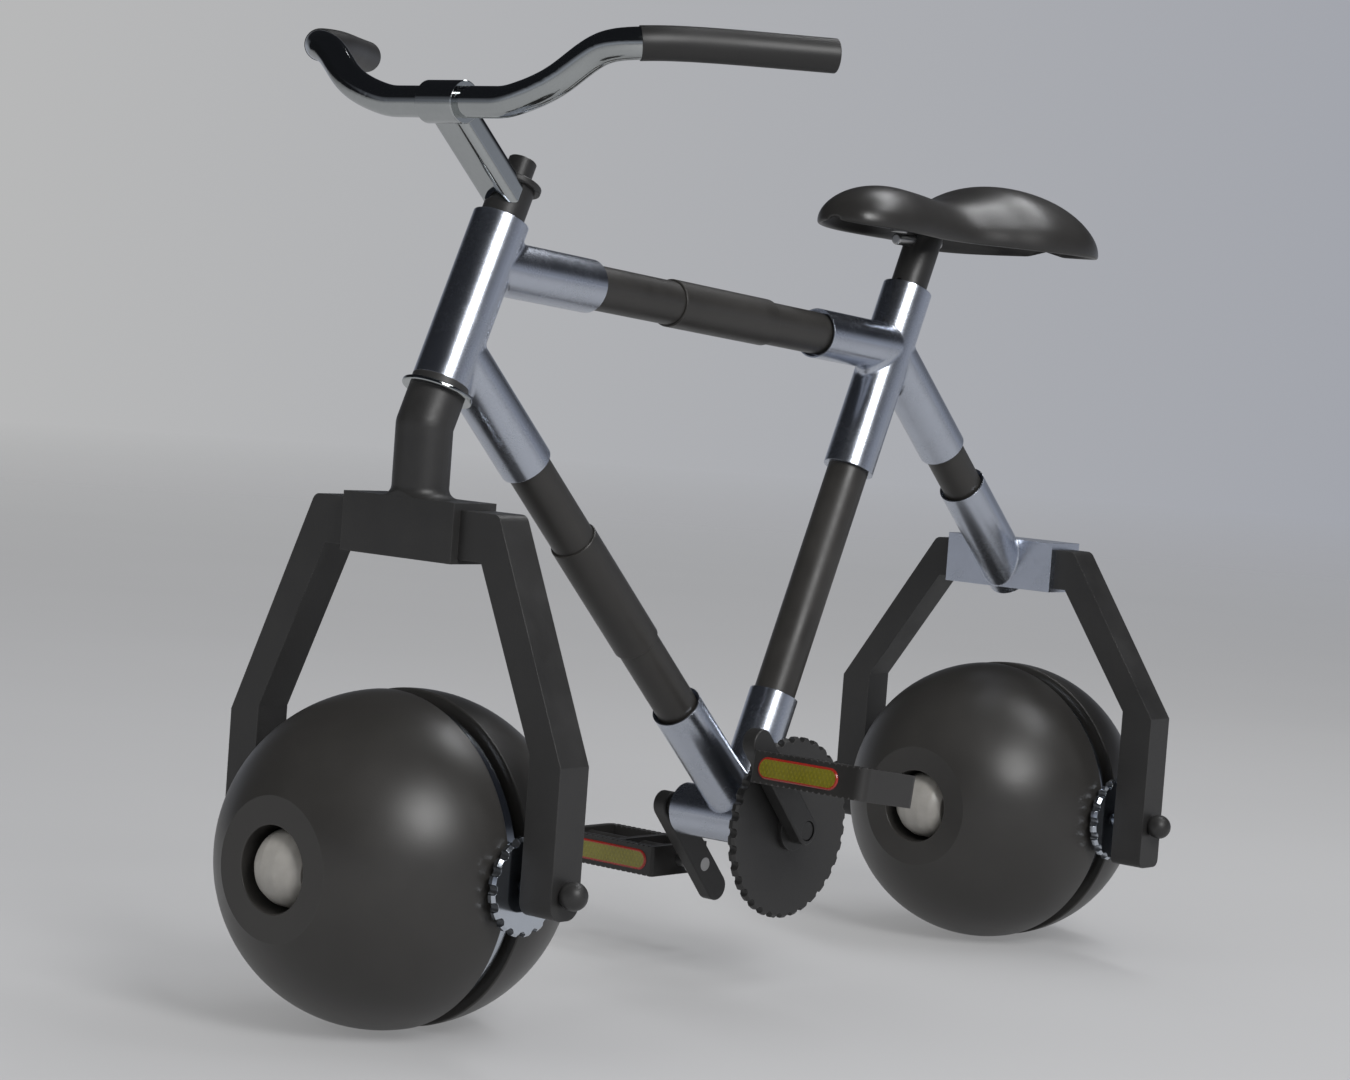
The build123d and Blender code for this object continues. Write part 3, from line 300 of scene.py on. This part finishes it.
def reflector_lens(side, raised):
    """An amber lens with a red band, on a pedal whose front edge is raised by so many degrees."""
    low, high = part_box(f"pedal_reflectors_{side}")
    middle = (low + high) / 2
    half_length, half_height = (high.y - low.y) / 2, LENS_HEIGHT / 2
    band = 0.0021
    prism = 0.0024

    finish, tree, shader, place = new_finish(f"reflector {side}")
    split = tree.nodes.new("ShaderNodeSeparateXYZ")
    tree.links.new(place, split.inputs[0])
    across = calc(tree, "SUBTRACT", split.outputs["Y"], middle.y)
    forward = calc(tree, "SUBTRACT", split.outputs["X"], middle.x)
    upward = calc(tree, "SUBTRACT", split.outputs["Z"], middle.z)
    upward = calc(tree, "SUBTRACT", calc(tree, "MULTIPLY", upward, math.cos(math.radians(raised))),
                  calc(tree, "MULTIPLY", forward, math.sin(math.radians(raised))))
    past_middle = calc(tree, "SUBTRACT", calc(tree, "ABSOLUTE", across), half_length - half_height)
    past_end = calc(tree, "MAXIMUM", past_middle)
    from_spine = calc(tree, "SQRT", calc(tree, "ADD", calc(tree, "MULTIPLY", past_end, past_end),
                                         calc(tree, "MULTIPLY", upward, upward)))
    on_band = spread(tree, from_spine, half_height - band - 0.0002, half_height - band, 0.0, 1.0)
    slant = calc(tree, "MULTIPLY", upward, 0.577)
    ridge_a = calc(tree, "PINGPONG", calc(tree, "ADD", across, slant), prism)
    ridge_b = calc(tree, "PINGPONG", calc(tree, "SUBTRACT", across, slant), prism)
    prisms = calc(tree, "MINIMUM", ridge_a, ridge_b)
    facets = spread(tree, prisms, 0.0, prism, 0.0, 1.0)
    lens = tint(tree, facets, (0.13, 0.115, 0.004), (0.20, 0.175, 0.008))
    clouds = spread(tree, noise(tree, place, 0.03, 3.0), 0.35, 0.7, 0.0, 0.5)
    lens = tint(tree, clouds, lens, (0.22, 0.20, 0.02))
    tree.links.new(tint(tree, on_band, lens, (0.30, 0.015, 0.008)), shader.inputs["Base Color"])
    tree.links.new(spread(tree, noise(tree, place, 0.012), 0.3, 0.7, 0.22, 0.34), shader.inputs["Roughness"])
    tree.links.new(bump(tree, calc(tree, "MULTIPLY", facets, calc(tree, "SUBTRACT", 1.0, on_band)), 0.00025),
                   shader.inputs["Normal"])
    shader.inputs["Coat Weight"].default_value = 0.6
    shader.inputs["Coat Roughness"].default_value = 0.12
    print("reflector", side, "is", round(2000 * half_length), "by", round(2000 * half_height), "mm")
    return finish


lenses = {"left": reflector_lens("left", 8), "right": reflector_lens("right", 0)}

# %% [markdown]
# ## Give every CAD piece its finish
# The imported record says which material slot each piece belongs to. A CAD mesh is left as it is:
# only what is in its material slots changes.

# %% Paint the CAD pieces
slot_of = {piece["node"]: piece["material_slot"] for piece in frame["record"]["subparts"]}


def paint(node, finish):
    for number in range(max(1, len(nodes[node].material_slots))):
        if number < len(nodes[node].material_slots):
            nodes[node].material_slots[number].material = finish
        else:
            nodes[node].data.materials.append(finish)


for node in nodes:
    side = node.rsplit("_", 1)[-1]
    paint(node, lenses[side] if slot_of[node] == "reflector" else finishes[slot_of[node]])
print("painted", len(nodes), "pieces in", len(finishes) + len(lenses), "finishes")

# %% [markdown]
# ## The saddle
# A saddle like this is a sprung shell with a skin moulded over thin foam: it swells at the nose,
# dips behind it and swells again under the sit bones, and the skin rolls over the rim to the
# inside. It could be a sculpted mesh, but a lofted one keeps every section smooth, so each station
# gives the shell's half width, rim and crown, and a smooth curve joins them. The rim is rolled to
# a bead, and a subdivision surface rounds the whole.

# %% Saddle stations
SHELL = 0.0068               # skin, foam and shell together
BEAD_STEPS, CROWN_STEPS, ALONG_STEPS = 5, 24, 56
# distance behind the nose, half width, rim height, crown height
STATIONS = [
    (0.0015, 0.010, 0.7575, 0.7640), (0.013, 0.031, 0.7545, 0.7805), (0.041, 0.0468, 0.7525, 0.7935),
    (0.077, 0.0537, 0.7505, 0.7985), (0.123, 0.0508, 0.7485, 0.7955), (0.169, 0.0538, 0.7475, 0.7905),
    (0.213, 0.0775, 0.7465, 0.7995), (0.259, 0.1015, 0.7455, 0.8135), (0.309, 0.1067, 0.7445, 0.8107),
    (0.349, 0.0915, 0.7445, 0.7925), (0.375, 0.0615, 0.7455, 0.7715), (0.3855, 0.0240, 0.7465, 0.7580),
]
saddle_low, saddle_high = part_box("saddle")


def eased(values, share):
    """A smooth curve through evenly numbered values, share running from 0 to the last number."""
    last = len(values) - 1
    here = min(int(share), last - 1)
    part = share - here
    before, start, end, after = (values[min(max(here + step, 0), last)] for step in (-1, 0, 1, 2))
    return 0.5 * (2 * start + (end - before) * part + (2 * before - 5 * start + 4 * end - after) * part ** 2
                  + (3 * start - before - 3 * end + after) * part ** 3)


def saddle_ring(share):
    """One closed cross-section: over the crown, round the bead, back under the crown, round the bead."""
    behind, half, rim, crown = (eased([station[k] for station in STATIONS], share) for k in range(4))
    skin = min(SHELL, 0.42 * half, 0.42 * (crown - rim))
    x = saddle_high.x - behind
    ring = []
    for step in range(CROWN_STEPS + 1):
        turn = math.pi * step / CROWN_STEPS
        ring.append(Vector((x, half * math.cos(turn),
                            rim + skin / 2 + (crown - rim - skin / 2) * math.sin(turn))))
    for step in range(1, BEAD_STEPS):
        turn = math.pi * step / BEAD_STEPS
        ring.append(Vector((x, -half + skin / 2 - skin / 2 * math.cos(turn),
                            rim + skin / 2 * (1 - math.sin(turn)))))
    for step in range(CROWN_STEPS + 1):
        turn = math.pi * (1 - step / CROWN_STEPS)
        ring.append(Vector((x, (half - skin) * math.cos(turn),
                            rim + skin / 2 + (crown - rim - 1.5 * skin) * math.sin(turn))))
    for step in range(1, BEAD_STEPS):
        turn = math.pi * step / BEAD_STEPS
        ring.append(Vector((x, half - skin / 2 - skin / 2 * math.cos(turn),
                            rim + skin / 2 * (1 - math.sin(turn)))))
    return ring


# %% Build the saddle
def skin_rings(name, rings):
    """A closed tube of quads through rings of equal length, capped at both ends."""
    shape = bmesh.new()
    loops = [[shape.verts.new(point) for point in ring] for ring in rings]
    count = len(loops[0])
    for first, second in zip(loops, loops[1:]):
        for here in range(count):
            there = (here + 1) % count
            shape.faces.new((first[here], first[there], second[there], second[here]))
    shape.faces.new(loops[0][::-1])
    shape.faces.new(loops[-1])
    bmesh.ops.recalc_face_normals(shape, faces=shape.faces)
    mesh = bpy.data.meshes.new(name)
    shape.to_mesh(mesh)
    shape.free()
    for face in mesh.polygons:
        face.use_smooth = True
    piece = bpy.data.objects.new(name, mesh)
    bpy.context.scene.collection.objects.link(piece)
    return piece


shares = [(len(STATIONS) - 1) * step / ALONG_STEPS for step in range(ALONG_STEPS + 1)]
saddle = skin_rings("moulded_saddle", [saddle_ring(share) for share in shares])
rounded = saddle.modifiers.new("rounded", "SUBSURF")
rounded.levels = rounded.render_levels = 1
saddle.data.materials.append(finishes["saddle_cover"])
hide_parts("saddle")
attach(saddle, "seat")
saddle_length = round(1000 * (saddle_high.x - saddle_low.x))
print("saddle:", len(saddle.data.polygons), "faces, CAD length", saddle_length, "mm")

# %% [markdown]
# ## Floor and room
# The floor is a wide pale disc that fades out towards its edge, so no horizon line shows. The room
# is plain grey to the eye, but what the chrome mirrors is darker overhead with pale walls, because
# polished metal only looks like metal when it has both light and dark to reflect.

# %% Floor
FLOOR_RADIUS = 16.0
FADE_START = 3.0
FLOOR_GLOW = 0.21             # keeps the shadows on it faint
floor_shape = bmesh.new()
bmesh.ops.create_circle(floor_shape, cap_ends=True, segments=96, radius=FLOOR_RADIUS)
floor_mesh = bpy.data.meshes.new("floor")
floor_shape.to_mesh(floor_mesh)
floor_shape.free()
floor = bpy.data.objects.new("floor", floor_mesh)
bpy.context.scene.collection.objects.link(floor)
floor.location = (0, 0, cad_low.z - 0.0005)

floor_finish, tree, shader, place = new_finish("pale floor")
shader.inputs["Roughness"].default_value = 0.9
shader.inputs["Specular IOR Level"].default_value = 0.1
tree.links.new(tint(tree, spread(tree, noise(tree, place, 1.2, 3.0), 0.3, 0.7, 0.0, 1.0),
                    (0.28, 0.28, 0.282), (0.295, 0.295, 0.297)), shader.inputs["Base Color"])
shader.inputs["Emission Color"].default_value = (1.0, 1.0, 1.01, 1.0)
shader.inputs["Emission Strength"].default_value = FLOOR_GLOW
reach = tree.nodes.new("ShaderNodeVectorMath")
reach.operation = "LENGTH"
tree.links.new(place, reach.inputs[0])
fading = spread(tree, reach.outputs["Value"], FADE_START, FLOOR_RADIUS * 0.9, 1.0, 0.0)
tree.links.new(fading, shader.inputs["Alpha"])
floor.data.materials.append(floor_finish)
print("floor", 2 * FLOOR_RADIUS, "m across")

# %% Room
FLAG_TURN = math.radians(-70)    # measured from straight ahead towards the rider's left
WALL_TOP, DARK_FROM = 0.02, 0.30    # the pale walls fade into the dark ceiling between these heights
room = bpy.data.worlds.new("room")
bpy.context.scene.world = room
room.use_nodes = True
tree = room.node_tree
tree.nodes.clear()
direction = tree.nodes.new("ShaderNodeTexCoord").outputs["Generated"]
split = tree.nodes.new("ShaderNodeSeparateXYZ")
tree.links.new(direction, split.inputs[0])

seen = tint(tree, spread(tree, calc(tree, "SUBTRACT", calc(tree, "MULTIPLY", split.outputs["Y"], 0.7),
                                    calc(tree, "MULTIPLY", split.outputs["X"], 0.7)), -0.2, 0.35, 0.0, 1.0),
            (0.50, 0.50, 0.495), (0.345, 0.36, 0.405))
ceiling = spread(tree, split.outputs["Z"], WALL_TOP, DARK_FROM, 0.0, 1.0)
mirrored = tint(tree, ceiling, (0.38, 0.40, 0.45), (0.014, 0.015, 0.018))
# a black flag stands on the right-hand side, and draws the dark line down the edge of each lug
toward_flag = calc(tree, "ADD", calc(tree, "MULTIPLY", split.outputs["X"], math.cos(FLAG_TURN)),
                   calc(tree, "MULTIPLY", split.outputs["Y"], math.sin(FLAG_TURN)))
mirrored = tint(tree, spread(tree, toward_flag, 0.86, 0.94, 0.0, 1.0), mirrored, (0.012, 0.013, 0.015))
eye = tree.nodes.new("ShaderNodeBackground")
tree.links.new(seen, eye.inputs["Color"])
gloss = tree.nodes.new("ShaderNodeBackground")
tree.links.new(mirrored, gloss.inputs["Color"])
path = tree.nodes.new("ShaderNodeLightPath")
choose = tree.nodes.new("ShaderNodeMixShader")
tree.links.new(path.outputs["Is Glossy Ray"], choose.inputs[0])
tree.links.new(eye.outputs[0], choose.inputs[1])
tree.links.new(gloss.outputs[0], choose.inputs[2])
tree.links.new(choose.outputs[0], tree.nodes.new("ShaderNodeOutputWorld").inputs["Surface"])
print("room set")

# %% [markdown]
# ## Lights
# One large soft light stands beside the viewer, to the upper right, and makes the broad highlight on
# each ball. A second, weaker one lifts the far side, and a strip overhead draws the thin bright line
# along the top of the bar and the frame.


# %% Lights
def soft_light(name, place, width, height, power, colour=(1.0, 1.0, 1.0)):
    """A rectangular light that looks at the middle of the bicycle."""
    lamp = bpy.data.lights.new(name, "AREA")
    lamp.shape, lamp.size, lamp.size_y = "RECTANGLE", width, height
    lamp.energy, lamp.color = power, colour
    light = bpy.data.objects.new(name, lamp)
    bpy.context.scene.collection.objects.link(light)
    middle = (cad_low + cad_high) / 2
    light.location = place
    light.rotation_euler = (middle - Vector(place)).to_track_quat("-Z", "Y").to_euler()
    print("light", name, "at", tuple(place))
    return light


soft_light("key", (1.35, 3.3, 2.7), 1.6, 1.6, 112)
fill = soft_light("fill", (3.6, -1.8, 1.8), 2.2, 1.6, 30, (0.96, 0.98, 1.0))
fill.visible_glossy = False      # it lifts the shadows and never shows as a spot in the chrome
soft_light("strip", (-1.4, 0.6, 3.2), 3.2, 0.5, 40, (0.97, 0.98, 1.0))

# %% [markdown]
# ## Camera
# The viewer stands ahead of the bicycle and to its left, a little above axle height, with a long
# lens. The camera is given by where it stands, the direction it looks in and which way is right.

# %% Camera
EYE = Vector((2.5352, 2.0210, 0.6123))
LOOK = Vector((-0.76669, -0.63952, -0.05664))
RIGHT = Vector((-0.64201, 0.76314, 0.07379))
LENS, SENSOR = 87.62, 36.0

camera = bpy.data.objects.new("viewer", bpy.data.cameras.new("viewer"))
bpy.context.scene.collection.objects.link(camera)
upward = RIGHT.cross(LOOK).normalized()
turned = Matrix((RIGHT.normalized(), upward, -LOOK.normalized())).transposed().to_4x4()
camera.matrix_world = Matrix.Translation(EYE) @ turned
camera.data.lens, camera.data.sensor_width = LENS, SENSOR
camera.data.clip_start, camera.data.clip_end = 0.05, 100.0
bpy.context.scene.camera = camera
bpy.context.scene.view_settings.view_transform = "Standard"
print("camera stands", round((EYE - (cad_low + cad_high) / 2).length, 2), "m away")
